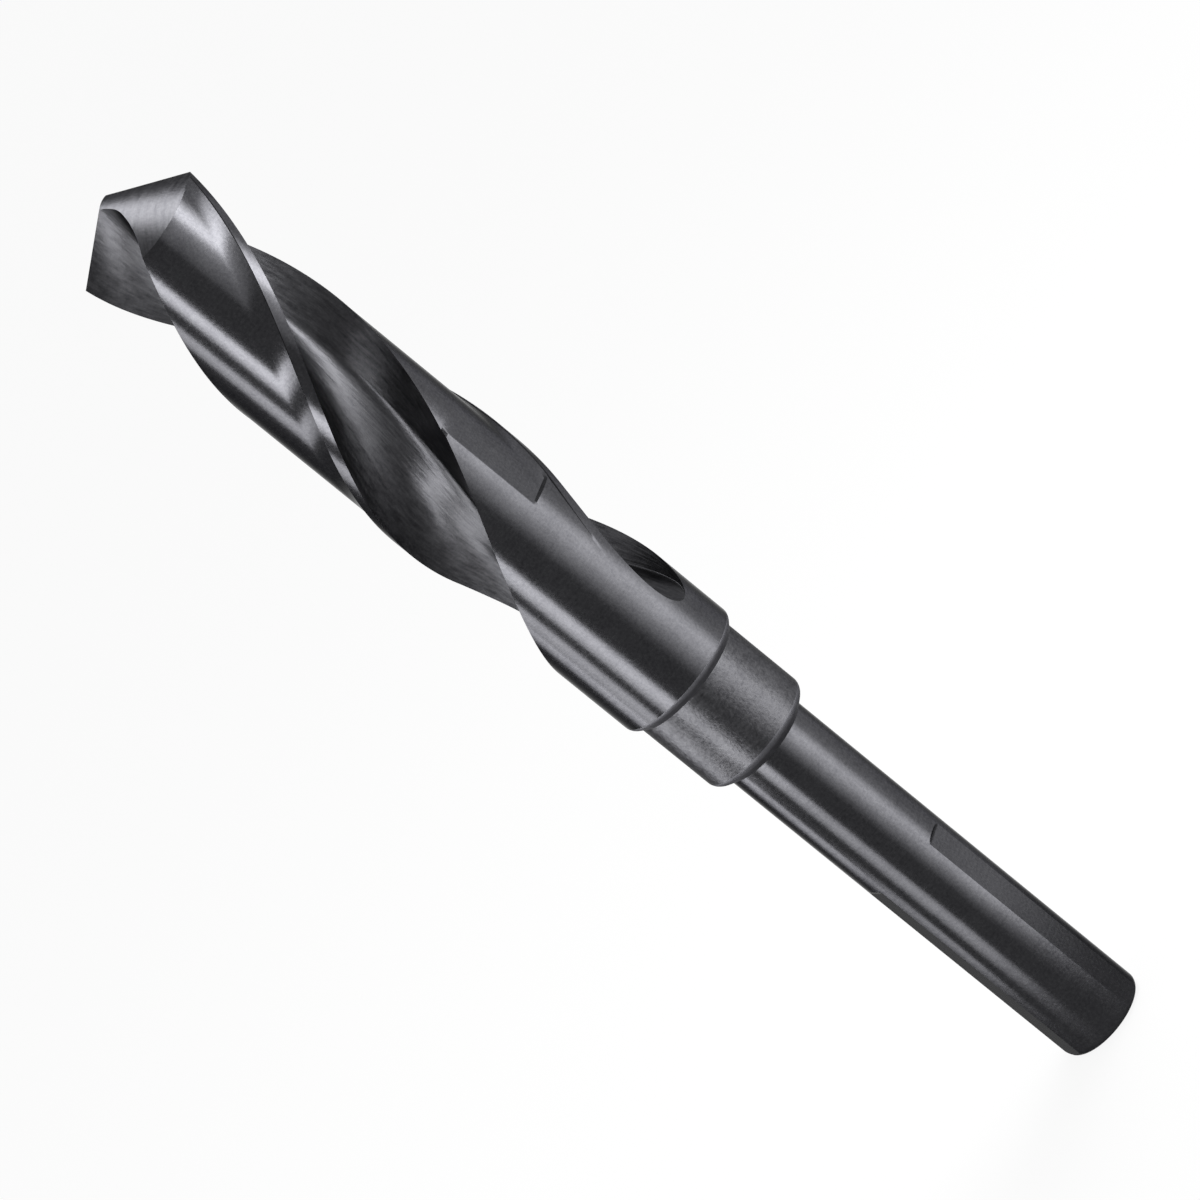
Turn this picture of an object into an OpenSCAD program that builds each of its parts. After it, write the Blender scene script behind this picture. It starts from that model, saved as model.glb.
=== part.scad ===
// Reduced-shank twist drill with two right-hand flutes, standing on the end of its shank.
// Origin: centre of the shank's end face. Z runs along the drill towards the point. Millimetres.

/* [Cutting part] */
// Cutting diameter, measured over the two margins
drill_d = 18; // [16:0.5:26]
// Length from the shoulder behind the flutes to the outer corners of the cutting lips
body_l = 82.5; // [66:0.5:120]
// Height in which the flutes make one full turn
lead = 103; // [85:1:140]
// Angle between the two cutting lips, seen from the side
point_angle = 117; // [112:1:135]
// Thickness of the web between the two flutes
web_t = 2.6; // [2:0.1:3.6]
// Direction of the outer lip corners, measured from the first flat of the shank
lip_turn = 34; // [0:1:90]

/* [Lands] */
// Depth of the plain body behind the relieved lands, under the margins
land_drop = 0.125; // [0.05:0.025:0.3]
// Depth of the relieved part of the lands, under the margins
relief_depth = 0.57; // [0.4:0.01:0.9]
// Angle that each land takes round the drill
land_angle = 91.4; // [84:0.2:100]
// Width of the margin, square to the flute
margin_w = 1.3; // [0.8:0.1:2]
// Height of the small wall behind the margin
margin_step = 0.12; // [0.05:0.01:0.25]
// Width of the hollow that leads from the margin down to the relieved land, square to the flute
hollow_w = 2.2; // [1.2:0.1:3]
// Distance from the end of the flutes' run-out to the end of the land relief
relief_gap = 2.3; // [1:0.1:8]
// Length of the last straight pass of the land relief
relief_pass = 14; // [8:0.1:18]
// Length over which the margins sink into the plain body, in front of the end of the land relief
margin_fade = 10; // [2:0.5:14]

/* [Flutes] */
// Plain length between the shoulder and the end of the flutes
plain_l = 7.5; // [4:0.5:15]
// Length over which the flutes rise out of the body
runout_l = 19; // [12:0.5:24]
// Turn of the run-out's tip, away from the flute's own helix
runout_turn = 11; // [0:1:20]
// Lean of the flute's trailing wall towards the drill's axis, in degrees
heel_lean = 10.5; // [0:0.5:16]
// Distance from the axis at which the flute's round floor turns into the trailing wall
floor_edge = 3; // [2.4:0.1:4]
// Growth of the web's radius from the point down to the start of the run-out
web_gain = 1.1; // [0:0.1:1.6]

/* [Point] */
// Half angle of the cone that each flank is part of
flank_cone = 37; // [34:1:42]
// Distance of that cone's tip beyond the drill's axis
flank_reach = 9; // [7:0.5:11]
// Tilt of the flank behind the lip
flank_tilt = 0; // [0:0.5:3]

/* [Collar] */
// Height of the step from the collar up to the body
shoulder_step = 1.025; // [0.6:0.025:1.3]
// Length of the collar
collar_l = 12.5; // [8:0.5:20]
// Radius of the round at the collar's back edge
collar_round = 1.28; // [0.6:0.02:1.6]
// Slope of the bevel behind that round, in degrees
collar_slope = 35; // [20:1:50]
// Radius of the round at the body's shoulder
shoulder_round = 1.1; // [0.8:0.1:2.4]
// Slope of the bevel at the body's shoulder, in degrees
shoulder_slope = 46; // [30:1:60]

/* [Shank] */
// Diameter of the shank
shank_d = 12; // [10:0.1:12.7]
// Length of the shank, from its end to the collar
shank_l = 55; // [42:0.5:70]
// Radius of the round at the shank's end
shank_round = 1.2; // [0.5:0.1:2]
// Depth of each of the three flats, under the round of the shank
flat_depth = 0.26; // [0.15:0.01:0.6]
// Length of the flats, from the shank's end
flat_l = 33.6; // [20:0.2:40]
// Radius left by the cutter at the inner end of each flat
flat_round = 1; // [0.5:0.1:2]

/* [Hidden] */

// Radii of the turned and ground surfaces
drill_r = drill_d / 2;
land_r = drill_r - land_drop;
relief_r = drill_r - relief_depth;
web_r = web_t / 2;
collar_r = land_r - shoulder_step;
shank_r = shank_d / 2;

// Heights along the drill
shoulder_z = shank_l + collar_l;
plain_z = shoulder_z + plain_l;
rise_z = plain_z + runout_l;
relief_z = rise_z + relief_gap;
pass_z = relief_z + relief_pass;
corner_z = shoulder_z + body_l;
top_rows_l = 4;
top_rows_z = corner_z - top_rows_l;

// Angle that the flutes turn through in a height
function turned(h) = 360 * h / lead;

// Angle round the drill of a width that is measured square to the flute
helix_angle = atan(PI * drill_d / lead);
function across(w) = w / cos(helix_angle) / drill_r * 180 / PI;
margin_a = across(margin_w);
hollow_a = margin_a + across(hollow_w);

// Angle between a land's leading edge and the trailing wall of the flute in front of it
flute_a = 180 - land_angle;

// Direction of a leading edge at a height
function lead_at(z) = lip_turn + turned(z - corner_z);

// Point: each flank is part of a cone that holds the whole lip as one of its straight lines

half_point = point_angle / 2;
function lip_reach(r) = sqrt(r * r - web_r * web_r);
lip_top_z = corner_z + lip_reach(drill_r) / tan(half_point);
lip_dir = lip_turn - asin(web_r / drill_r);

// Direction of the cone's axis, along the lip, ahead of the lip and up
flank_axis = cos(flank_cone) * [sin(half_point), 0, -cos(half_point)]
    + sin(flank_cone) * cos(flank_tilt) * [-cos(half_point), 0, -sin(half_point)]
    + sin(flank_cone) * sin(flank_tilt) * [0, 1, 0];

// Height of one flank over a place u along its lip and v ahead of the axis
function flank_z(u, v) =
    let (
        du = u + flank_reach,
        dv = v - web_r,
        p = flank_axis[0] * du + flank_axis[1] * dv,
        c = cos(flank_cone) * cos(flank_cone),
        qa = flank_axis[2] * flank_axis[2] - c,
        qb = 2 * flank_axis[2] * p,
        qc = p * p - c * (du * du + dv * dv),
        root = sqrt(max(0, qb * qb - 4 * qa * qc)),
        drop_1 = (-qb + root) / (2 * qa),
        drop_2 = (-qb - root) / (2 * qa),
        top = lip_top_z + flank_reach / tan(half_point)
    )
    top + max(
        p + flank_axis[2] * drop_1 > 0 ? drop_1 : -1000,
        p + flank_axis[2] * drop_2 > 0 ? drop_2 : -1000
    );

// Height of the ground point over a place: the lower of the two flanks
function point_z(x, y) =
    let (
        u = x * cos(lip_dir) + y * sin(lip_dir),
        v = y * cos(lip_dir) - x * sin(lip_dir)
    )
    min(flank_z(u, v), flank_z(-u, -v));

// Distance along the lip at which the lip meets the chisel edge, found by halving
function chisel_end(low, high, steps) =
    let (mid = (low + high) / 2)
    steps == 0 ? mid
    : lip_top_z - mid / tan(half_point) > flank_z(-mid, -web_r) ? chisel_end(mid, high, steps - 1)
    : chisel_end(low, mid, steps - 1);
chisel_u = chisel_end(0.05, 2.5 * web_r, 24);
inner_r = sqrt(web_r * web_r + chisel_u * chisel_u);

// Flute: leading face, floor and trailing wall, as radius and angle from the leading edge

face_n = 7;
floor_n = 5;
function at_level(inner, outer, j) = inner + (outer - inner) * (1 - pow(j / face_n, 0.85));

// The leading face is curved so that the lip ground across it comes out straight
function face_a(r) =
    asin(web_r / r) - asin(web_r / drill_r)
    + turned((lip_reach(r) - lip_reach(drill_r)) / tan(half_point));
function heel_a(r) = flute_a + heel_lean * (land_r - r) / land_r;

face = [for (j = [0:face_n]) let (r = at_level(inner_r, drill_r, j)) [r, face_a(r)]];
function heel_wall(outer) = [
    for (j = [face_n:-1:0]) let (r = at_level(floor_edge, outer, j)) [r, heel_a(r)]
];

// The floor is a smooth curve that leaves the face and meets the wall in their own directions
function place(r, a) = [r * cos(a), r * sin(a)];
function along(p, q) = (q - p) / norm(q - p);
face_end = place(inner_r, face_a(inner_r));
wall_end = place(floor_edge, heel_a(floor_edge));
floor_span = norm(wall_end - face_end);
pull_1 = face_end + 0.17 * floor_span * along(place(inner_r + 0.05, face_a(inner_r + 0.05)), face_end);
pull_2 = wall_end + 0.34 * floor_span * along(place(floor_edge + 0.1, heel_a(floor_edge + 0.1)), wall_end);
flute_floor = [
    for (j = [1:floor_n - 1])
        let (
            t = j / floor_n,
            p = pow(1 - t, 3) * face_end + 3 * pow(1 - t, 2) * t * pull_1
                + 3 * (1 - t) * t * t * pull_2 + pow(t, 3) * wall_end
        )
        [norm(p), atan2(p[1], p[0])]
];

// The web grows thicker away from the point
// Run-out: the cutter's rim leaves the body along an arc, and the flute narrows with it

function leaving(z) = min(1, max(0, (rise_z - z) / runout_l));
depth = land_r - web_r;
cutter_r = (runout_l * runout_l + depth * depth) / (2 * depth);
function lifted(z) =
    let (
        arc = (cutter_r - sqrt(cutter_r * cutter_r - pow(leaving(z) * runout_l, 2))) / depth,
        growth = web_gain / depth * (corner_z - z) / (corner_z - rise_z)
    )
    1 - (1 - arc) * (1 - growth);
function narrowed(z) = max(0.04, pow(max(0, 1 - pow(leaving(z), 1.7)), 0.5));
function run_out(p, z) = [
    p[0] + (land_r - p[0]) * lifted(z),
    flute_a / 2 + runout_turn * pow(leaving(z), 1.3) + (p[1] - flute_a / 2) * narrowed(z)
];

// Land: heel, plain part, relieved part, hollow and margin, as radius and angle behind the edge

plain_n = 7;
relief_n = 6;
hollow_n = 3;
land_n = plain_n + relief_n + hollow_n + 1;
plain_min_a = 3;

// The last pass of the relief is straight, so its edge keeps one direction while the flutes turn
function relief_edge(z) =
    let (widest = land_angle - plain_min_a)
    z > pass_z ? widest : min(widest, land_angle - turned(pass_z - max(z, relief_z)));
function relieved(z) = z > relief_z;
pass_half = acos(relief_r / land_r);

// The strip of plain land beside that edge ends where the edge reaches the heel
strip_end_l = plain_min_a * lead / 360;
function strip_r(z) =
    !relieved(z) ? land_r
    : relief_r + (land_r - relief_r) * min(1, max(0, (pass_z - z) / strip_end_l));

function land_radius(b, z) =
    !relieved(z) ? land_r
    : b > relief_edge(z) + 0.01 ? strip_r(z)
    : z <= pass_z && b > relief_edge(z) - pass_half
        ? min(strip_r(z), relief_r / cos(b - relief_edge(z) + pass_half))
    : b < hollow_a
        ? relief_r + (drill_r - margin_step - relief_r) * pow((hollow_a - b) / (hollow_a - margin_a), 2)
    : relief_r;

// The margin sinks into the plain body behind the relief
function margin_r(z) = land_r + (drill_r - land_r) * min(1, max(0, (z - relief_z) / margin_fade + 1));

function land_angles(z, heel) = [
    for (i = [1:plain_n]) heel + (relief_edge(z) - heel) * i / plain_n,
    for (i = [1:relief_n]) relief_edge(z) + (hollow_a - relief_edge(z)) * i / relief_n,
    for (i = [1:hollow_n]) hollow_a + (margin_a - hollow_a) * i / hollow_n
];

// Where the flutes run out, the land widens to follow the leading edge, which moves ahead
margin_wall_a = 0.4;
function land(z, heel, ahead) =
    let (wider = (heel + ahead) / heel)
    [
        for (b = land_angles(z, heel)) [land_radius(b, z), 180 + ahead - b * wider],
        [margin_r(z), 180 + ahead - (margin_a - margin_wall_a) * wider]
    ];

// Rings of points round the drill, from the plain body up to the point

half_n = 2 * (face_n + 1) + floor_n - 1 + land_n;
ring_n = 2 * half_n;

// The half of a ring that starts at a leading edge: flute first, then the land in front of it
function half_ring(z) =
    let (
        edge = [margin_r(z), 0],
        flute = concat([edge], [for (j = [1:face_n]) face[j]], flute_floor, heel_wall(strip_r(z))),
        cut = [for (p = flute) run_out(p, z)],
        heel = 180 - cut[len(cut) - 1][1]
    )
    concat(cut, land(z, heel, cut[0][1]));

function polar(r, a, z) = [r * cos(a), r * sin(a), z];

// Heights of the level rings: close together where the flutes end and where the relief ends
step_h = 0.4;
row_h = 2.4;
runout_n = 11;
middle_n = ceil((relief_z - rise_z) / row_h);
pass_n = ceil((relief_pass - strip_end_l) / row_h);
upper_n = ceil((top_rows_z - pass_z) / row_h);
first_z = plain_z + 0.02;
level_z = concat(
    [for (k = [0:runout_n]) first_z + (rise_z - first_z) * pow(k / runout_n, 1.6)],
    [for (k = [1:middle_n]) rise_z + (relief_z - rise_z) * k / middle_n],
    [relief_z + step_h],
    [for (k = [1:pass_n]) relief_z + (relief_pass - strip_end_l) * k / pass_n],
    [pass_z],
    [for (k = [1:upper_n]) pass_z + (top_rows_z - pass_z) * k / upper_n]
);
level_rings = [
    for (z = level_z)
        let (half = half_ring(z))
        [for (side = [0, 180]) for (p = half) polar(p[0], lead_at(z) + p[1] + side, z)]
];

// The lowest ring lies inside the plain body, so that the fluted part and the turned part are one
foot_depth = 1;
first_half = half_ring(first_z);
flute_n = half_n - land_n;
function foot_angle(i) =
    i >= flute_n ? first_half[i][1]
    : first_half[0][1] + (first_half[flute_n - 1][1] - first_half[0][1]) * i / (flute_n - 1);
foot_ring = [
    for (side = [0, 180]) for (i = [0:half_n - 1])
        polar(land_r - foot_depth / 2, lead_at(first_z) + foot_angle(i) + side, plain_z - foot_depth)
];

// Each column of points follows its helix up to the ground point
function column_top(r, a, z, steps) =
    steps == 0 ? z
    : let (d = lead_at(z) + a) column_top(r, a, point_z(r * cos(d), r * sin(d)), steps - 1);
last_half = half_ring(top_rows_z);
last_ring = [for (side = [0, 180]) for (p = last_half) [p[0], p[1] + side]];
last_top = [for (p = last_ring) column_top(p[0], p[1], corner_z, 12)];
rising_n = 4;
rising_rings = [
    for (k = [1:rising_n]) [
        for (i = [0:ring_n - 1])
            let (
                z = top_rows_z + (last_top[i] - top_rows_z) * k / rising_n,
                p = last_ring[i]
            )
            polar(p[0], lead_at(z) + p[1], z)
    ]
];
rings = concat([foot_ring], level_rings, rising_rings);

// Ground point: a net of points over each flank, between the lip and the trailing wall

top_start = (len(rings) - 1) * ring_n;
function top_id(i) = top_start + (i + ring_n) % ring_n;
function lip_i(side, j) = side * half_n + j;
function heel_i(side, j) = (1 - side) * half_n + face_n + floor_n + face_n - j;
function top_angle(i) = lead_at(last_top[i]) + last_ring[i][1];

// Share of the way from the trailing wall to the lip, as the land's own points have it
function share(m) =
    (last_half[face_n + floor_n + face_n + m][1] - last_half[face_n + floor_n + face_n][1])
    / (180 - last_half[face_n + floor_n + face_n][1]);

net_n = land_n + 1;
net_points = [
    for (side = [0, 1]) for (j = [1:face_n])
        let (
            a0 = top_angle(heel_i(side, j)) - (side == 0 ? 360 : 0),
            a1 = top_angle(lip_i(side, j)),
            r0 = last_ring[heel_i(side, j)][0],
            r1 = last_ring[lip_i(side, j)][0]
        )
        for (m = [1:net_n - 1])
            let (
                r = r1 + (r0 - r1) * pow(1 - share(m), 2),
                a = a0 + (a1 - a0) * share(m),
                x = r * cos(a),
                y = r * sin(a)
            )
            [x, y, point_z(x, y)]
];
net_start = len(rings) * ring_n;
centre_id = net_start + len(net_points);
function net_id(side, j, m) =
    m == net_n ? top_id(lip_i(side, j))
    : m == 0 ? top_id(heel_i(side, j))
    : j == 0 ? top_id(heel_i(side, 0) + m)
    : net_start + (side * face_n + j - 1) * (net_n - 1) + m - 1;

points = concat(
    [for (ring = rings) each ring],
    net_points,
    [[0, 0, point_z(0, 0)]]
);

wall_faces = [
    for (k = [0:len(rings) - 2]) for (i = [0:ring_n - 1])
        let (
            a = k * ring_n + i,
            b = k * ring_n + (i + 1) % ring_n
        )
        each [[a, a + ring_n, b], [b, a + ring_n, b + ring_n]]
];
net_faces = [
    for (side = [0, 1]) for (j = [0:face_n - 1]) for (m = [0:net_n - 1])
        let (
            a = net_id(side, j, m),
            b = net_id(side, j, m + 1),
            c = net_id(side, j + 1, m + 1),
            d = net_id(side, j + 1, m)
        )
        each [[a, d, c], [a, c, b]]
];
centre_faces = [
    for (side = [0, 1]) each concat(
        [for (m = [0:net_n - 1]) [centre_id, net_id(side, face_n, m + 1), net_id(side, face_n, m)]],
        [
            for (m = [0:floor_n - 1])
                [centre_id, top_id(lip_i(side, face_n) + m + 1), top_id(lip_i(side, face_n) + m)]
        ]
    )
];
base_face = [[for (i = [0:ring_n - 1]) i]];

module fluted_body() {
    polyhedron(points, concat(base_face, wall_faces, net_faces, centre_faces), convexity = 12);
}

// Points of a bevel that ends in a round: from the inner radius out to the outer one, going up
round_n = 8;
function bevel(inner, outer, slope, round_r, z) =
    let (
        bend = 90 - slope,
        r = min(round_r, 0.95 * (outer - inner) / (1 - cos(bend))),
        run = outer - inner - r * (1 - cos(bend))
    )
    [
        for (i = [0:round_n])
            let (a = bend * (1 - i / round_n))
            [inner + run + r * (cos(a) - cos(bend)), z + run * tan(slope) + r * (sin(bend) - sin(a))]
    ];

// Turned part: shank with its rounded end, collar, and the plain body behind the flutes
corner_step = 0.08;
body_r = land_r + 0.01;
module turned_part() {
    rotate_extrude($fn = 96)
        polygon(concat(
            [[0, 0]],
            [
                for (i = [0:round_n])
                    let (a = 90 * i / round_n)
                    [
                        shank_r - shank_round * (1 - sin(a)),
                        shank_round * (1 - cos(a))
                    ]
            ],
            [[shank_r, shank_l]],
            bevel(shank_r + corner_step, collar_r, collar_slope, collar_round, shank_l),
            [[collar_r, shoulder_z]],
            bevel(collar_r + corner_step, body_r, shoulder_slope, shoulder_round, shoulder_z),
            [[body_r, plain_z], [0, plain_z]]
        ));
}

// One flat: a straight cut along the shank that ends in the cutter's round
module flat_cut() {
    cut_w = shank_d;
    h = shank_r - flat_depth;
    rotate([90, 0, 0])
        translate([0, 0, -cut_w / 2])
            linear_extrude(cut_w)
                union() {
                    translate([h, -1])
                        square([shank_d, flat_l - flat_round + 1]);
                    translate([h + flat_round, -1])
                        square([shank_d, flat_l + 1]);
                    translate([h + flat_round, flat_l - flat_round])
                        circle(flat_round, $fn = 48);
                }
}

// Turned part with the three flats of the shank
module flatted_part() {
    difference() {
        turned_part();
        for (turn = [0, 120, 240])
            rotate(turn)
                flat_cut();
    }
}

module drill_bit() {
    color("#2b2b30")
        union() {
            flatted_part();
            fluted_body();
        }
}

drill_bit();
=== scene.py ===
import math
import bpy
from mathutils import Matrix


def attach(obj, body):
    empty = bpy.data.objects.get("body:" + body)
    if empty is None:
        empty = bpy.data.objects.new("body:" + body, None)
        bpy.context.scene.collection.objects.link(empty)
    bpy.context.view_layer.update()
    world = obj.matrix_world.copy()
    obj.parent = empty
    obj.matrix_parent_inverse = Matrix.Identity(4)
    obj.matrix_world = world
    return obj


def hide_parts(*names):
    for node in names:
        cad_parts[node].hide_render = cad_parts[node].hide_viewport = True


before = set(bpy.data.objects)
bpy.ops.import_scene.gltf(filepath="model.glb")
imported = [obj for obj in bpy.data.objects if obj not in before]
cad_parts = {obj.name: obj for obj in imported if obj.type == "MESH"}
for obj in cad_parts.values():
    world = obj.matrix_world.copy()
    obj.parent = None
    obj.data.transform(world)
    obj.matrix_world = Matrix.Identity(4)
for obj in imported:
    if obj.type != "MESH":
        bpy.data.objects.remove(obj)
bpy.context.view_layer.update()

from types import SimpleNamespace

import bpy
import numpy as np
from mathutils import Matrix, Vector

mm = 0.001


def toLinear(hexColour):
    # sRGB hex to the linear values that Blender's sockets take
    parts = [int(hexColour[i:i + 2], 16) / 255 for i in (1, 3, 5)]
    return [c / 12.92 if c <= 0.04045 else ((c + 0.055) / 1.055) ** 2.4 for c in parts] + [1.0]


# Camera: a long lens beside the point's half of the drill, rolled so that the drill lies across the frame
photo = {
    "lens": 195.0,            # mm on a 36 mm sensor
    "distance": 746.84,       # mm from the lens to the drill's axis
    "aimHeight": 81.0,        # mm up the drill
    "azimuth": -45.7,         # degrees round the drill, from +X
    "elevation": 16.6,        # degrees above the horizon
    "roll": -50.84,           # degrees, puts the point at the upper left
    "aside": 0.678,           # mm that the lens looks past the axis
}


def placeCamera():
    az, el, roll = (math.radians(photo[k]) for k in ("azimuth", "elevation", "roll"))
    back = Vector((math.cos(az) * math.cos(el), math.sin(az) * math.cos(el), math.sin(el)))
    level = Vector((-math.sin(az), math.cos(az), 0))
    upright = back.cross(level)
    right = math.cos(roll) * level + math.sin(roll) * upright
    up = -math.sin(roll) * level + math.cos(roll) * upright
    spot = Vector((0, 0, photo["aimHeight"])) + back * photo["distance"] + level * photo["aside"]
    data = bpy.data.cameras.new("photoCamera")
    data.lens, data.sensor_width = photo["lens"], 36.0
    data.clip_start, data.clip_end = 0.01, 20.0
    camera = bpy.data.objects.new("photoCamera", data)
    turn = Matrix((right, up, back)).transposed().to_4x4()
    camera.matrix_world = Matrix.Translation(spot * mm) @ turn
    bpy.context.scene.collection.objects.link(camera)
    bpy.context.scene.camera = camera
    print("camera placed")


placeCamera()


# Fluted body: sizes in mm, angles in degrees, heights from the shank's end
fluted = {
    "drillR": 9.0, "landR": 8.875, "reliefR": 8.43, "webR": 1.3,
    "lead": 103.0, "lipTurn": 34.0, "halfPoint": 58.5, "cornerZ": 150.0,
    "landAngle": 91.4, "marginW": 1.3, "marginStep": 0.12, "hollowW": 2.2,
    "plainZ": 75.0, "riseZ": 94.0, "reliefZ": 96.3, "passZ": 110.3, "marginFade": 10.0,
    "stripA": 3.0, "runoutTurn": 11.0, "heelLean": 10.5, "floorEdge": 3.0, "webGain": 1.1,
    "flankCone": 37.0, "flankReach": 9.0,
    "facePull": 0.17, "heelPull": 0.34,        # reach of the flute floor's curve, as shares of its span
    "narrowing": 1.7, "swerving": 1.3,         # how late the run-out narrows and turns aside
    "wallAngle": 0.35, "footL": 1.0, "footGap": 0.02, "topH": 4.0,
    # how finely the mesh is divided
    "faceN": 34, "floorN": 20, "plainN": 32, "reliefN": 44, "hollowN": 12, "marginN": 5,
    "runoutN": 44, "rowH": 0.55, "risingN": 10, "coreN": 8, "faceCrowding": 0.85, "runoutCrowding": 1.6,
    "uvRow": 30, "sharpAngle": 24,
}
fl = SimpleNamespace(**fluted)
flankCone, halfPoint = math.radians(fl.flankCone), math.radians(fl.halfPoint)
helixAngle = math.atan(2 * math.pi * fl.drillR / fl.lead)
marginA = fl.marginW / math.cos(helixAngle) / fl.drillR
hollowA = marginA + fl.hollowW / math.cos(helixAngle) / fl.drillR
landA = math.radians(fl.landAngle)
fluteA = math.pi - landA
lipTurn = math.radians(fl.lipTurn)
stripL = fl.stripA * fl.lead / 360


def turned(h):
    # angle that the flutes turn through in a height
    return 2 * math.pi * h / fl.lead


def leadAt(z):
    return lipTurn + turned(z - fl.cornerZ)


def lipReach(r):
    return np.sqrt(np.square(r) - fl.webR ** 2)


lipTopZ = fl.cornerZ + float(lipReach(fl.drillR)) / math.tan(halfPoint)
lipDir = lipTurn - math.asin(fl.webR / fl.drillR)
flankAxis = (math.cos(flankCone) * np.array([math.sin(halfPoint), 0, -math.cos(halfPoint)])
             + math.sin(flankCone) * np.array([-math.cos(halfPoint), 0, -math.sin(halfPoint)]))


def flankHeight(u, v):
    # height of a cone that holds the whole lip as one straight line: the near root of the cone's equation
    du, dv = u + fl.flankReach, v - fl.webR
    p = flankAxis[0] * du + flankAxis[1] * dv
    c = math.cos(flankCone) ** 2
    qa = flankAxis[2] ** 2 - c
    qb = 2 * flankAxis[2] * p
    qc = p * p - c * (du * du + dv * dv)
    root = np.sqrt(np.maximum(0, qb * qb - 4 * qa * qc))
    drops = [(-qb + root) / (2 * qa), (-qb - root) / (2 * qa)]
    drops = [np.where(p + flankAxis[2] * d > 0, d, -1000) for d in drops]
    return lipTopZ + fl.flankReach / math.tan(halfPoint) + np.maximum(*drops)


def pointHeight(x, y):
    # the ground point is the lower of its two flanks
    u = x * math.cos(lipDir) + y * math.sin(lipDir)
    v = y * math.cos(lipDir) - x * math.sin(lipDir)
    return np.minimum(flankHeight(u, v), flankHeight(-u, -v))


def chiselEnd():
    # distance along the lip at which it meets the chisel edge, found by halving
    low, high = 0.05, 2.5 * fl.webR
    for step in range(24):
        mid = (low + high) / 2
        onLip = lipTopZ - mid / math.tan(halfPoint) > flankHeight(np.float64(-mid), np.float64(-fl.webR))
        low, high = (mid, high) if onLip else (low, mid)
    return low


innerR = math.hypot(fl.webR, chiselEnd())


def faceAngle(r):
    # leading face, curved so that the lip ground across it comes out straight
    outer = float(lipReach(fl.drillR))
    return (np.arcsin(fl.webR / r) - math.asin(fl.webR / fl.drillR)
            + turned((lipReach(r) - outer) / math.tan(halfPoint)))


def heelAngle(r):
    # trailing wall: radial at the land, leaning over towards the axis
    return fluteA + math.radians(fl.heelLean) * (fl.landR - r) / fl.landR


def floorCurve():
    # cubic curve from the face to the trailing wall, which leaves both in their own directions
    place = lambda r, angle: np.array([r * math.cos(angle), r * math.sin(angle)])
    along = lambda p, q: (q - p) / math.hypot(*(q - p))
    start, end = place(innerR, faceAngle(innerR)), place(fl.floorEdge, heelAngle(fl.floorEdge))
    span = math.hypot(*(end - start))
    pull1 = start + fl.facePull * span * along(place(innerR + 0.05, faceAngle(innerR + 0.05)), start)
    pull2 = end + fl.heelPull * span * along(place(fl.floorEdge + 0.1, heelAngle(fl.floorEdge + 0.1)), end)
    t = (np.arange(1, fl.floorN) / fl.floorN)[:, None]
    p = (1 - t) ** 3 * start + 3 * (1 - t) ** 2 * t * pull1 + 3 * (1 - t) * t * t * pull2 + t ** 3 * end
    return np.hypot(p[:, 0], p[:, 1]), np.arctan2(p[:, 1], p[:, 0])


def stripRadius(z):
    # plain strip beside the last relief pass: it sinks to the relief where the pass reaches the heel
    sunk = fl.reliefR + (fl.landR - fl.reliefR) * np.clip((fl.passZ - z) / stripL, 0, 1)
    return np.where(z > fl.reliefZ, sunk, fl.landR)


def fluteProfile(z):
    # radius and angle of the flute from its leading edge to its heel, one row per height
    z = z[:, None]
    level = 1 - (np.arange(fl.faceN + 1) / fl.faceN) ** fl.faceCrowding
    faceR = innerR + (fl.drillR - innerR) * level[None, :] + 0 * z
    heelR = fl.floorEdge + (stripRadius(z) - fl.floorEdge) * level[None, ::-1]
    floorR, floorA = floorCurve()
    r = np.hstack([faceR, floorR[None, :] + 0 * z, heelR])
    a = np.hstack([faceAngle(faceR), floorA[None, :] + 0 * z, heelAngle(heelR)])
    # the web grows away from the point; the cutter's rim leaves along an arc, and the flute narrows with it
    runoutL = fl.riseZ - fl.plainZ
    leaving = np.clip((fl.riseZ - z) / runoutL, 0, 1)
    depth = fl.landR - fl.webR
    cutterR = (runoutL ** 2 + depth ** 2) / (2 * depth)
    growth = fl.webGain / depth * (fl.cornerZ - z) / (fl.cornerZ - fl.riseZ)
    lifted = 1 - (1 - (cutterR - np.sqrt(cutterR ** 2 - (leaving * runoutL) ** 2)) / depth) * (1 - growth)
    narrowed = np.maximum(0.03, np.sqrt(np.maximum(0, 1 - leaving ** fl.narrowing)))
    mid = fluteA / 2
    a = mid + math.radians(fl.runoutTurn) * leaving ** fl.swerving + (a - mid) * narrowed
    r = r + (fl.landR - r) * lifted
    r[:, 0] = marginRadius(z[:, 0])
    return r, a


def marginRadius(z):
    # the margin sinks into the plain body in front of the end of the land relief
    return fl.landR + (fl.drillR - fl.landR) * np.clip((z - fl.reliefZ) / fl.marginFade + 1, 0, 1)


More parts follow.
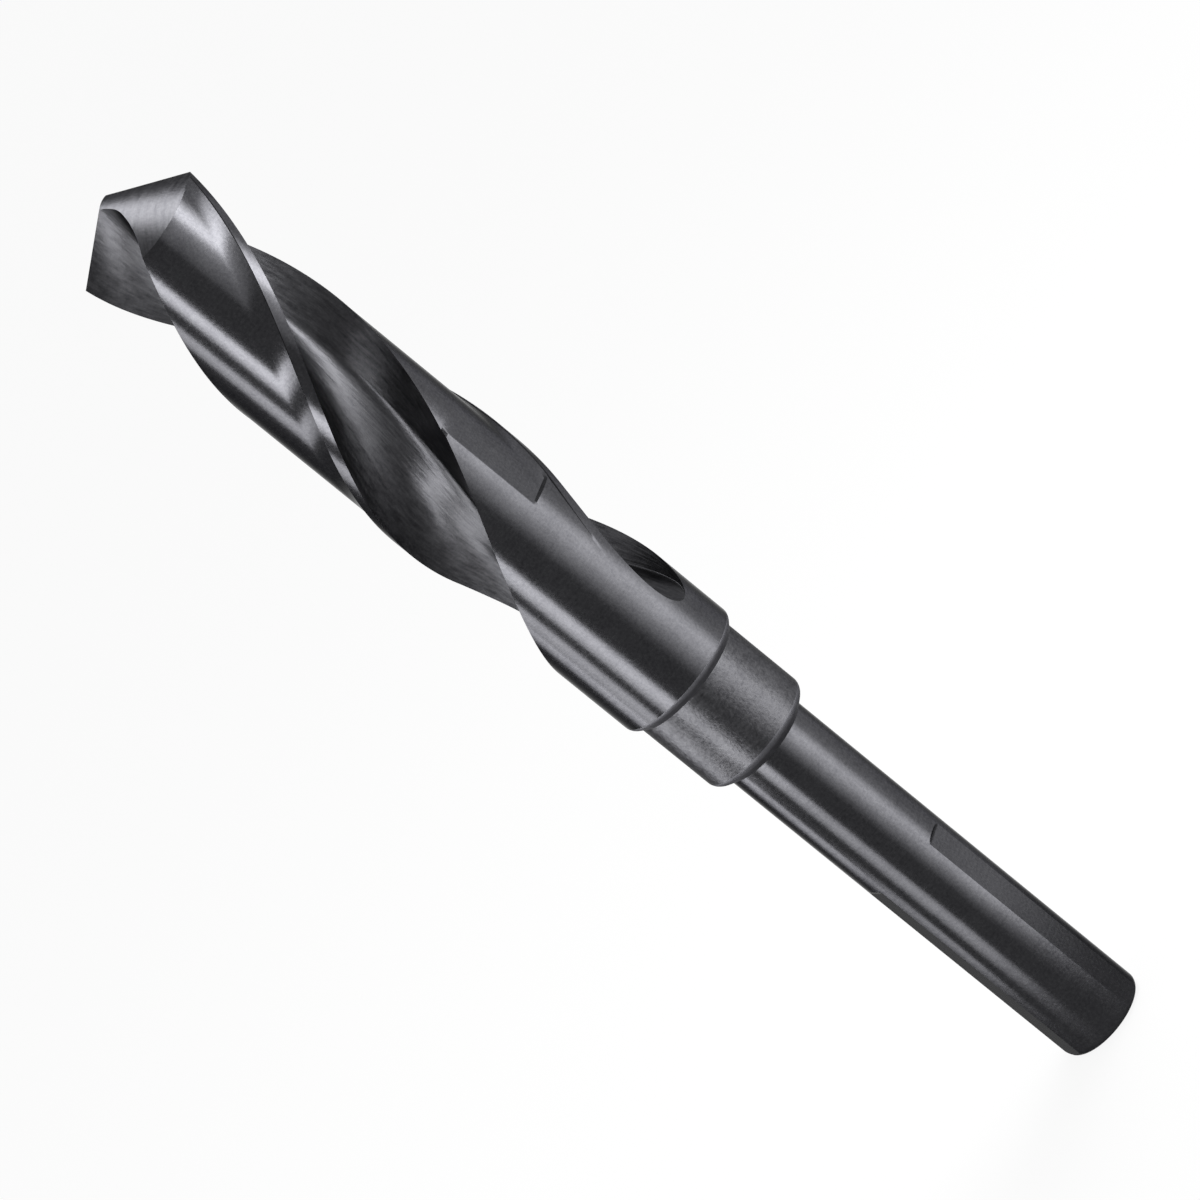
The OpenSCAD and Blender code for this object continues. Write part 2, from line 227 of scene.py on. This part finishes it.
def landProfile(z, heel, ahead):
    # land from the heel back to its own leading edge: plain, relieved, hollow, margin wall, margin
    z, heel, ahead = z[:, None], heel[:, None], ahead[:, None]
    widest = landA - math.radians(fl.stripA)
    edge = np.where(z > fl.passZ, widest,
                    np.minimum(widest, landA - turned(fl.passZ - np.maximum(z, fl.reliefZ))))
    steps = [np.arange(1, n + 1)[None, :] / n for n in (fl.plainN, fl.reliefN, fl.hollowN)]
    b = np.hstack([heel + (edge - heel) * steps[0], edge + (hollowA - edge) * steps[1],
                   hollowA + (marginA - hollowA) * steps[2] + 0 * z])
    passHalf = math.acos(fl.reliefR / fl.landR)
    strip = stripRadius(z)
    lastPass = np.minimum(strip, fl.reliefR / np.cos(np.clip(b - edge + passHalf, -1, 1)))
    risen = ((hollowA - b) / (hollowA - marginA)) ** 2
    hollow = fl.reliefR + (fl.drillR - fl.marginStep - fl.reliefR) * risen
    r = np.where(b < hollowA, hollow, fl.reliefR)
    r = np.where((z <= fl.passZ) & (b > edge - passHalf), lastPass, r)
    r = np.where(b > edge + 0.0002, strip, r)
    r = np.where(z > fl.reliefZ, r, fl.landR)
    wallA = math.radians(fl.wallAngle)
    across = (marginA - wallA) * (1 - np.arange(fl.marginN)[None, :] / fl.marginN)
    b = np.hstack([b, across + 0 * z])
    r = np.hstack([r, marginRadius(z) + 0 * across])
    return r, math.pi + ahead - b * (heel + ahead) / heel


def halfRings(z):
    r, a = fluteProfile(z)
    landR, landAngles = landProfile(z, math.pi - a[:, -1], a[:, 0])
    return np.hstack([r, landR]), np.hstack([a, landAngles])


def levelHeights():
    first, stripZ = fl.plainZ + 0.02, fl.passZ - stripL
    span = lambda low, high, step: np.linspace(low, high, max(2, int(math.ceil((high - low) / step)) + 1))[1:]
    return np.concatenate([
        first + (fl.riseZ - first) * (np.arange(fl.runoutN + 1) / fl.runoutN) ** fl.runoutCrowding,
        span(fl.riseZ, fl.reliefZ, fl.rowH), [fl.reliefZ + 0.3], span(fl.reliefZ + 0.3, stripZ, fl.rowH),
        [fl.passZ], span(fl.passZ, fl.cornerZ - fl.topH, fl.rowH)])


def polar(r, a, z):
    return np.stack([r * np.cos(a), r * np.sin(a), z + 0 * r], axis=-1)


def quadsBetween(grid):
    # quads of a grid of vertex numbers, whose columns follow each other anticlockwise
    a, b, c, d = grid[:-1, :-1], grid[:-1, 1:], grid[1:, 1:], grid[1:, :-1]
    return np.stack([a, b, c, d], axis=-1).reshape(-1, 4)


def cornersOf(uv):
    # one (u, v) per corner of the same quads, in their order
    return np.stack([uv[:-1, :-1], uv[:-1, 1:], uv[1:, 1:], uv[1:, :-1]], 2).reshape(-1, 2)


def meshObject(name, points, quads, tris, uvs, sharpAngle):
    # vertices in mm; uvs is one (u, v) per corner, quads first
    mesh = bpy.data.meshes.new(name)
    loops = np.concatenate([quads.ravel(), tris.ravel()]).astype(np.int32)
    sizes = np.concatenate([np.full(len(quads), 4), np.full(len(tris), 3)]).astype(np.int32)
    starts = np.concatenate([[0], np.cumsum(sizes)[:-1]]).astype(np.int32)
    mesh.vertices.add(len(points))
    mesh.vertices.foreach_set("co", (points * mm).astype(np.float32).ravel())
    mesh.loops.add(len(loops))
    mesh.loops.foreach_set("vertex_index", loops)
    mesh.polygons.add(len(sizes))
    mesh.polygons.foreach_set("loop_start", starts)
    mesh.polygons.foreach_set("loop_total", sizes)
    layer = mesh.uv_layers.new(name="groundLines")
    layer.uv.foreach_set("vector", uvs.astype(np.float32).ravel())
    mesh.update(calc_edges=True)
    mesh.validate()
    mesh.shade_smooth()
    mesh.set_sharp_from_angle(angle=math.radians(sharpAngle))
    piece = bpy.data.objects.new(name, mesh)
    bpy.context.scene.collection.objects.link(piece)
    return piece


def buildFlutedBody():
    z = levelHeights()
    r, a = halfRings(z)
    half = r.shape[1]
    full = 2 * half
    r, a = np.hstack([r, r]), np.hstack([a, a + math.pi])
    level = polar(r, leadAt(z)[:, None] + a, z[:, None])

    # foot inside the plain body
    footZ = fl.plainZ - fl.footL
    foot = polar(np.full(full, fl.landR - fl.footGap), leadAt(z[0]) + a[0], footZ)[None]

    # each column follows its helix up to the ground point, whose height is found by repeated steps
    lastR, lastA = r[-1], a[-1]
    topZ = np.full(full, fl.cornerZ)
    for step in range(14):
        way = leadAt(topZ) + lastA
        topZ = pointHeight(lastR * np.cos(way), lastR * np.sin(way))
    up = (np.arange(1, fl.risingN + 1) / fl.risingN)[:, None]
    risingZ = z[-1] + (topZ[None, :] - z[-1]) * up
    rising = polar(lastR, leadAt(risingZ) + lastA, risingZ)
    rings = np.concatenate([foot, level, rising])
    count = len(rings)
    walls = np.arange(count * full).reshape(count, full)
    walls = np.hstack([walls, walls[:, :1]])
    points = [rings.reshape(-1, 3)]
    quads = [quadsBetween(walls)]
    base = count * full
    top = (count - 1) * full

    # net over each flank, from the trailing wall to the lip
    landN = half - 2 * (fl.faceN + 1) - (fl.floorN - 1)
    heelStart = 2 * fl.faceN + fl.floorN
    netN = landN + 1
    topA = leadAt(topZ) + lastA
    inner = []
    for side in (0, 1):
        j = np.arange(fl.faceN + 1)
        lipI = (side * half + j) % full
        heelI = ((1 - side) * half + heelStart - j) % full
        share = np.append((lastA[heelStart:half] - lastA[heelStart]) / (math.pi - lastA[heelStart]), 1.0)
        a0 = topA[heelI] - (2 * math.pi if side == 0 else 0)
        angle = a0[:, None] + (topA[lipI] - a0)[:, None] * share[None, :]
        radius = lastR[lipI][:, None] + (lastR[heelI] - lastR[lipI])[:, None] * (1 - share[None, :]) ** 2
        x, y = radius * np.cos(angle), radius * np.sin(angle)
        net = np.stack([x, y, pointHeight(x, y)], -1)[1:, 1:-1]
        grid = np.zeros((fl.faceN + 1, netN + 1), int)
        grid[1:, 1:-1] = base + np.arange(net.shape[0] * net.shape[1]).reshape(net.shape[:2])
        grid[:, 0], grid[:, -1] = top + heelI, top + lipI
        grid[0, 1:-1] = top + ((1 - side) * half + heelStart + np.arange(1, netN)) % full
        points.append(net.reshape(-1, 3))
        base += net.shape[0] * net.shape[1]
        quads.append(quadsBetween(grid))
        floorI = top + side * half + fl.faceN + np.arange(1, fl.floorN)
        inner.append(np.concatenate([grid[-1], floorI]))
    flat = np.concatenate(points)

    # core of the point, drawn in to the centre ring by ring
    loop = np.concatenate(inner)
    shrink = (1 - np.arange(1, fl.coreN) / fl.coreN)[:, None, None]
    coreXY = flat[loop][None, :, :2] * shrink
    core = np.concatenate([coreXY, pointHeight(coreXY[..., 0], coreXY[..., 1])[..., None]], -1)
    coreGrid = np.vstack([loop[None], base + np.arange(core.shape[0] * len(loop)).reshape(core.shape[0], -1)])
    coreGrid = np.hstack([coreGrid, coreGrid[:, :1]])
    base += core.shape[0] * len(loop)
    centre, footCentre = base, base + 1
    ends = np.array([[0, 0, float(pointHeight(np.float64(0), np.float64(0)))], [0, 0, footZ]])
    flat = np.concatenate([flat, core.reshape(-1, 3), ends])
    quads.append(quadsBetween(coreGrid))
    inmost, lowest = coreGrid[-1], walls[0]
    tris = np.concatenate([
        np.stack([inmost[:-1], inmost[1:], np.full(len(inmost) - 1, centre)], -1),
        np.stack([lowest[1:], lowest[:-1], np.full(full, footCentre)], -1)])

    # uv in mm: u runs across the flute or land along the profile, v up along the helix
    ring = np.vstack([rings[fl.uvRow], rings[fl.uvRow][:1]])[:, :2]
    uAt = np.concatenate([[0], np.cumsum(np.hypot(*np.diff(ring, axis=0).T))])
    vAt = np.hstack([rings[..., 2], rings[:, :1, 2]]) / math.cos(helixAngle)
    wallUV = np.stack(np.broadcast_arrays(uAt[None, :], vAt), -1)
    wallCorners = cornersOf(wallUV)
    rest = np.concatenate([q.ravel() for q in quads[1:]] + [tris.ravel()])
    restUV = flat[rest][:, :2]
    piece = meshObject("flutedBody", flat, np.concatenate(quads), tris,
                       np.concatenate([wallCorners, restUV]), fl.sharpAngle)

    # material index by region: flutes, lands, ground point
    region = np.zeros(len(piece.data.polygons), np.int32)
    column = np.tile(np.arange(full), count - 1) % half
    region[:len(column)] = np.where(column < heelStart, 0, 1)
    region[len(column):] = 2
    region[-full:] = 1
    piece.data.polygons.foreach_set("material_index", region)
    print("fluted body built:", len(piece.data.polygons), "faces")
    return piece


# Turned part: sizes in mm, heights from the shank's end
shank = {
    "shankR": 6.0, "shankL": 55.0, "shankRound": 1.2,
    "flatDepth": 0.26, "flatL": 33.6, "flatRound": 1.0,
    "collarR": 7.85, "collarL": 12.5, "collarRound": 1.28, "collarSlope": 35.0,
    "bodyR": 8.875, "shoulderRound": 1.1, "shoulderSlope": 46.0, "topZ": 75.02,
    "cornerStep": 0.08, "flatColumns": 18, "roundColumns": 30, "sharpAngle": 12,
}
st = SimpleNamespace(**shank)


def bevel(inner, outer, slope, roundR, z):
    # straight bevel that ends in a round, from the inner radius out to the outer one
    bend = math.pi / 2 - slope
    run = outer - inner - roundR * (1 - math.cos(bend))
    a = bend * (1 - np.arange(17) / 16)
    return np.stack([inner + run + roundR * (np.cos(a) - math.cos(bend)),
                     z + run * math.tan(slope) + roundR * (math.sin(bend) - np.sin(a))], -1)


def lathe():
    end = math.pi / 2 * np.arange(13) / 12
    flatEnd = st.flatL - st.flatRound
    shoulderZ = st.shankL + st.collarL
    parts = [
        np.stack([st.shankR - st.shankRound * (1 - np.sin(end)), st.shankRound * (1 - np.cos(end))], -1),
        np.stack([np.full(16, st.shankR), np.linspace(3, flatEnd, 16)], -1),
        np.stack([np.full(22, st.shankR), np.linspace(flatEnd, flatEnd + 0.8, 23)[1:]], -1),
        np.stack([np.full(9, st.shankR), np.linspace(flatEnd + 3, st.shankL, 9)], -1),
        [[st.shankR + st.cornerStep, st.shankL]],
        bevel(st.shankR + st.cornerStep, st.collarR, math.radians(st.collarSlope), st.collarRound,
              st.shankL),
        np.stack([np.full(6, st.collarR), np.linspace(st.shankL + 3, shoulderZ, 6)], -1),
        [[st.collarR + st.cornerStep, shoulderZ]],
        bevel(st.collarR + st.cornerStep, st.bodyR, math.radians(st.shoulderSlope), st.shoulderRound,
              shoulderZ),
        np.stack([np.full(5, st.bodyR), np.linspace(shoulderZ + 2.5, st.topZ, 5)], -1),
    ]
    line = np.concatenate([np.asarray(p, float) for p in parts])
    keep = np.append(True, np.hypot(*np.diff(line, axis=0).T) > 1e-6)
    return line[keep]


def buildTurnedPart():
    line = lathe()
    halfFlat = math.acos((st.shankR - st.flatDepth) / st.shankR)
    third = 2 * math.pi / 3
    columns = np.concatenate([
        np.linspace(-halfFlat, halfFlat, st.flatColumns + 1)[:-1],
        np.linspace(halfFlat, third - halfFlat, st.roundColumns + 1)[:-1]])
    angle = np.concatenate([columns + k * third for k in range(3)])
    off = (angle + third / 2) % third - third / 2
    # distance of the flat from the axis: level, then rising along the cutter's round
    past = np.clip(line[:, 1] - (st.flatL - st.flatRound), 0, st.flatRound)
    flatH = st.shankR - st.flatDepth + st.flatRound - np.sqrt(st.flatRound ** 2 - past ** 2)
    flatH = np.where(line[:, 1] < st.flatL, flatH, 100)
    r = np.minimum(line[:, :1], flatH[:, None] / np.cos(off)[None, :])
    rings = polar(r, angle[None, :] + 0 * r, line[:, 1:])
    rows, cols = r.shape
    grid = np.arange(rows * cols).reshape(rows, cols)
    grid = np.hstack([grid, grid[:, :1]])
    centres = np.array([[0, 0, 0], [0, 0, st.topZ]])
    points = np.concatenate([rings.reshape(-1, 3), centres])
    under = np.stack([grid[0][1:], grid[0][:-1], np.full(cols, rows * cols)], -1)
    over = np.stack([grid[-1][:-1], grid[-1][1:], np.full(cols, rows * cols + 1)], -1)
    quads, tris = quadsBetween(grid), np.concatenate([under, over])

    # uv in mm: u round the part, v along its outline
    v = np.concatenate([[0], np.cumsum(np.hypot(*np.diff(line, axis=0).T))])
    u = np.append(angle, angle[0] + 2 * math.pi) * st.shankR
    uv = np.stack(np.broadcast_arrays(u[None, :], v[:, None]), -1)
    uvs = np.concatenate([cornersOf(uv), points[tris.ravel()][:, :2]])
    piece = meshObject("turnedPart", points, quads, tris, uvs, st.sharpAngle)

    # material index by region: shank and body, collar, bevels
    middle = (line[:-1, 1] + line[1:, 1]) / 2
    onCollar = (middle > st.shankL) & (middle < st.shankL + st.collarL)
    sloping = (np.abs(np.diff(line[:, 0])) > 0.005) & (middle > st.shankL - 1)
    region = np.where(sloping, 2, onCollar.astype(np.int32)).astype(np.int32)
    region = np.concatenate([np.repeat(region, cols), np.zeros(2 * cols, np.int32)])
    piece.data.polygons.foreach_set("material_index", region)
    print("turned part built:", len(piece.data.polygons), "faces")
    return piece


# Nodes are added through this one function, in the finishes and in the studio
def addNode(tree, kind, settings, **links):
    # settings are the node's own properties; links are sockets by name, by number as i0, i1, or by value
    node = tree.nodes.new(kind)
    for key, value in settings.items():
        setattr(node, key, value)
    for key, value in links.items():
        number = key[0] == "i" and key[1:].isdigit()
        socket = node.inputs[int(key[1:])] if number else node.inputs[key.replace("_", " ")]
        if isinstance(value, bpy.types.NodeSocket):
            tree.links.new(value, socket)
        else:
            socket.default_value = value
    return node


# Black oxide on high-speed steel: a thin dark layer that keeps the grinding lines and a satin gloss.
# Grain, lines (across, along) and bump are in mm; lines is their share beside the grain; spread is how far
# reflections run out along the drill. The colours are set dark against the bright strips of this studio,
# so in plainer light they show darker than the real steel.
finishes = {
    "fluteGround": {"dark": "#252527", "light": "#3b3b3d", "roughness": 0.41, "vary": 0.12, "spread": 0.5,
                    "grain": 0.40, "across": 0.36, "along": 3.0, "lines": 0.75, "bump": 0.070},
    "landGround": {"dark": "#252527", "light": "#323234", "roughness": 0.26, "vary": 0.06, "spread": 0.78,
                   "grain": 0.34, "across": 4.0, "along": 0.30, "lines": 0.3, "bump": 0.016},
    "pointGround": {"dark": "#252527", "light": "#373739", "roughness": 0.31, "vary": 0.08, "spread": 0.0,
                    "grain": 0.36, "across": 0.36, "along": 4.0, "lines": 0.6, "bump": 0.030},
    "turnedSatin": {"dark": "#252527", "light": "#323234", "roughness": 0.26, "vary": 0.06, "spread": 0.78,
                    "grain": 0.34, "across": 4.0, "along": 0.30, "lines": 0.3, "bump": 0.016},
    "collarTurned": {"dark": "#262628", "light": "#3d3d3f", "roughness": 0.40, "vary": 0.12, "spread": 0.5,
                     "grain": 0.44, "across": 1.6, "along": 0.40, "lines": 0.35, "bump": 0.10},
    # bevels: base colours lifted well above the rest of the steel, a painted highlight so that the bevels
    # read as bright as the body's lit bands
    "bevelPaintedSheen": {"dark": "#3b3b3e", "light": "#464649", "roughness": 0.50, "vary": 0.06, "spread": 0.0,
                    "grain": 0.55, "across": 1.6, "along": 0.45, "lines": 0.5, "bump": 0.030},
}

oxide = {
    "cloudScale": 240.0,        # per metre
    "fineShare": 0.78,          # of grain and lines in the tone, the rest is clouds
    "toneLow": 0.35, "toneHigh": 0.65, "roughLow": 0.3, "roughHigh": 0.7,
    "bumpStrength": 0.5, "edgeTint": 0.45,
}


def blackOxide(name):
    look = finishes[name]
    material = bpy.data.materials.new("blackOxide_" + name)
    material.use_nodes = True
    tree = material.node_tree
    tree.nodes.clear()
    add = lambda kind, settings={}, **links: addNode(tree, kind, settings, **links)

    # grinding lines follow the mesh's own mm, the grain and the clouds follow the object
    ground = add("ShaderNodeUVMap", {"uv_map": "groundLines"}).outputs["UV"]
    place = add("ShaderNodeTexCoord").outputs["Object"]
    drawn = add("ShaderNodeMapping", {}, Vector=ground, Scale=(1 / look["across"], 1 / look["along"], 1))
    noise = lambda where, scale, detail: add("ShaderNodeTexNoise", {}, Vector=where, Scale=scale,
                                             Detail=detail, Roughness=0.6).outputs["Fac"]
    lines = noise(drawn.outputs["Vector"], 1.0, 4.0)
    grain = noise(place, 1000 / look["grain"], 2.0)
    cloudy = noise(place, oxide["cloudScale"], 4.0)
    fine = add("ShaderNodeMix", {"data_type": "FLOAT"}, i0=look["lines"], i2=grain, i3=lines).outputs[0]
    tone = add("ShaderNodeMix", {"data_type": "FLOAT"}, i0=oxide["fineShare"], i2=cloudy,
               i3=fine).outputs[0]
    shade = add("ShaderNodeMapRange", {}, Value=tone, i1=oxide["toneLow"],
                i2=oxide["toneHigh"]).outputs["Result"]
    colour = add("ShaderNodeMix", {"data_type": "RGBA"}, i0=shade, i6=toLinear(look["dark"]),
                 i7=toLinear(look["light"])).outputs[2]
    rough = add("ShaderNodeMapRange", {}, Value=fine, i1=oxide["roughLow"], i2=oxide["roughHigh"],
                i3=look["roughness"] - look["vary"] / 2,
                i4=look["roughness"] + look["vary"] / 2).outputs["Result"]
    bump = add("ShaderNodeBump", {}, Height=fine, Strength=oxide["bumpStrength"],
               Distance=look["bump"] * mm).outputs["Normal"]
    tangent = add("ShaderNodeTangent", {"direction_type": "UV_MAP",
                                        "uv_map": "groundLines"}).outputs["Tangent"]
    shader = add("ShaderNodeBsdfPrincipled", {}, Base_Color=colour, Metallic=1.0, Roughness=rough,
                 Normal=bump, Tangent=tangent, Anisotropic=look["spread"], Anisotropic_Rotation=0.25,
                 Specular_Tint=[oxide["edgeTint"]] * 3 + [1.0])
    add("ShaderNodeOutputMaterial", {}, Surface=shader.outputs["BSDF"])
    return material


flutedBody = buildFlutedBody()
for name in ("fluteGround", "landGround", "pointGround"):
    flutedBody.data.materials.append(blackOxide(name))
turnedPart = buildTurnedPart()
for name in ("turnedSatin", "collarTurned", "bevelPaintedSheen"):
    turnedPart.data.materials.append(blackOxide(name))
for piece in (flutedBody, turnedPart):
    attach(piece, "root")
    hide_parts("drill_bit")
print("finishes set")


# Studio: white surround, pale floor, tall soft strips beside the drill and a soft box above the point.
# Radiance is in steps of the white surround. The strips give the part about 2 to 3.5 times a plain light.
studio = {
    "floorSize": 6.0,           # m
    "floorDrop": 0.03,          # mm that the floor lies below the shank's end
    "floorGrey": 0.85, "floorGlow": 0.9, "worldFill": 0.6,
    "beam": 50,
    "strips": [
        # name, degrees round from the camera, distance at the floor in mm, width, low edge, high edge,
        # degrees of lean, radiance
        ("keyTail", 32, 50, 56, 1, 300, 12, 3.6),
        ("keyLow", 42, 50, 60, 1, 95, 12, 3.5),
        ("keyWide", 56, 47, 66, 1, 300, 12, 5.8),
        ("keyMiddle", 60, 44, 44, 1, 300, 12, 5.8),
        ("keyCore", 63, 41, 18, 1, 300, 12, 3.5),
        ("keyTop", 67, 56, 40, 112, 230, 5, 22.0),
        ("keyOuter", 88, 47, 60, 1, 300, 12, 3.4),
        ("keyEdge", 122, 60, 70, 1, 300, 12, 3.3),
        ("fillStrip", -47.5, 44, 24, 1, 300, 12, 12.0),
        ("fillBody", -45.5, 43, 24, 40, 300, 12, 10.5),
        ("fillTop", -42.5, 42, 18, 85, 300, 12, 6.0),
        ("rimStrip", -85.5, 46, 26, 45, 137, 12, 15.0),
        ("rimBody", -103, 44, 16, 42, 88, 12, 16.5),
        ("rimShank", -105, 44, 22, 20, 43, 12, 14.5),
        ("rimLow", -95, 44, 20, 1, 20, 12, 10.5),
    ],
    "topBox": {"width": 113, "height": 113, "z": 330, "aside": 72, "back": 60, "radiance": 17.0},
}


def addLamp(name, width, height, radiance, beam, right, up, spot):
    # a rectangle of even light that shines against the direction right x up, fading out at half the beam
    half = math.radians(beam / 2)
    data = bpy.data.lights.new(name, "AREA")
    data.shape, data.size, data.size_y = "RECTANGLE", width * mm, height * mm
    data.energy = radiance * 4 * width * height * mm * mm
    if beam < 180:
        data.spread = 2 * half
        data.energy *= (math.tan(half) - half) / math.tan(half)
    lamp = bpy.data.objects.new(name, data)
    axes = Matrix((right, up, right.cross(up))).transposed().to_4x4()
    lamp.matrix_world = Matrix.Translation(spot * mm) @ axes
    lamp.visible_camera = False
    bpy.context.scene.collection.objects.link(lamp)


def addStrip(name, turn, distance, width, low, high, lean, radiance):
    # leans back, so that it shines a little upward
    az, lean = math.radians(photo["azimuth"] + turn), math.radians(lean)
    out = Vector((math.cos(az), math.sin(az), 0))
    side = Vector((-math.sin(az), math.cos(az), 0))
    rise = Vector((0, 0, 1)) * math.cos(lean) + out * math.sin(lean)
    spot = out * (distance + math.tan(lean) * (low + high) / 2) + Vector((0, 0, (low + high) / 2))
    addLamp(name, width, (high - low) / math.cos(lean), radiance, studio["beam"], side, rise, spot)


def addTopBox():
    box = studio["topBox"]
    az = math.radians(photo["azimuth"])
    out, side = Vector((math.cos(az), math.sin(az), 0)), Vector((-math.sin(az), math.cos(az), 0))
    spot = side * box["aside"] - out * box["back"] + Vector((0, 0, box["z"]))
    addLamp("topBox", box["width"], box["height"], box["radiance"], 180, side, -out, spot)


def addSeen(add):
    # 1 where the camera, a reflection or a look through glass meets the surface, 0 where it lights others
    path = add("ShaderNodeLightPath").outputs
    seen = add("ShaderNodeMath", {"operation": "MAXIMUM"}, i0=path["Is Camera Ray"], i1=path["Is Glossy Ray"])
    return add("ShaderNodeMath", {"operation": "MAXIMUM"}, i0=seen.outputs[0],
               i1=path["Is Transmission Ray"]).outputs[0]


def buildWorld():
    # white where the camera or a reflection looks, softer where it lights
    world = bpy.data.worlds.new("studioWorld")
    bpy.context.scene.world = world
    world.use_nodes = True
    world.node_tree.nodes.clear()
    add = lambda kind, settings={}, **links: addNode(world.node_tree, kind, settings, **links)
    strength = add("ShaderNodeMapRange", {}, Value=addSeen(add), i3=studio["worldFill"],
                   i4=1.0).outputs["Result"]
    sky = add("ShaderNodeBackground", {}, Color=(1, 1, 1, 1), Strength=strength).outputs["Background"]
    add("ShaderNodeOutputWorld", {}, Surface=sky)


def buildFloor():
    # white where seen, and it keeps a light shadow
    half = studio["floorSize"] / 2
    mesh = bpy.data.meshes.new("studioFloor")
    drop = studio["floorDrop"] * mm
    corners = [(x * half, y * half, -drop) for x, y in ((-1, -1), (1, -1), (1, 1), (-1, 1))]
    mesh.from_pydata(corners, [], [(0, 1, 2, 3)])
    floor = bpy.data.objects.new("studioFloor", mesh)
    bpy.context.scene.collection.objects.link(floor)
    paint = bpy.data.materials.new("paleFloor")
    paint.use_nodes = True
    paint.node_tree.nodes.clear()
    add = lambda kind, settings={}, **links: addNode(paint.node_tree, kind, settings, **links)
    share = add("ShaderNodeMath", {"operation": "MULTIPLY"}, i0=addSeen(add),
                i1=studio["floorGlow"]).outputs[0]
    matt = add("ShaderNodeBsdfDiffuse", {}, Color=[studio["floorGrey"]] * 3 + [1]).outputs["BSDF"]
    glow = add("ShaderNodeEmission", {}, Color=(1, 1, 1, 1), Strength=1.0).outputs["Emission"]
    mixed = add("ShaderNodeMixShader", {}, i0=share, i1=matt, i2=glow).outputs["Shader"]
    add("ShaderNodeOutputMaterial", {}, Surface=mixed)
    mesh.materials.append(paint)


for strip in studio["strips"]:
    addStrip(*strip)
addTopBox()
buildWorld()
buildFloor()
bpy.context.scene.view_settings.view_transform = "Standard"
print("studio built")
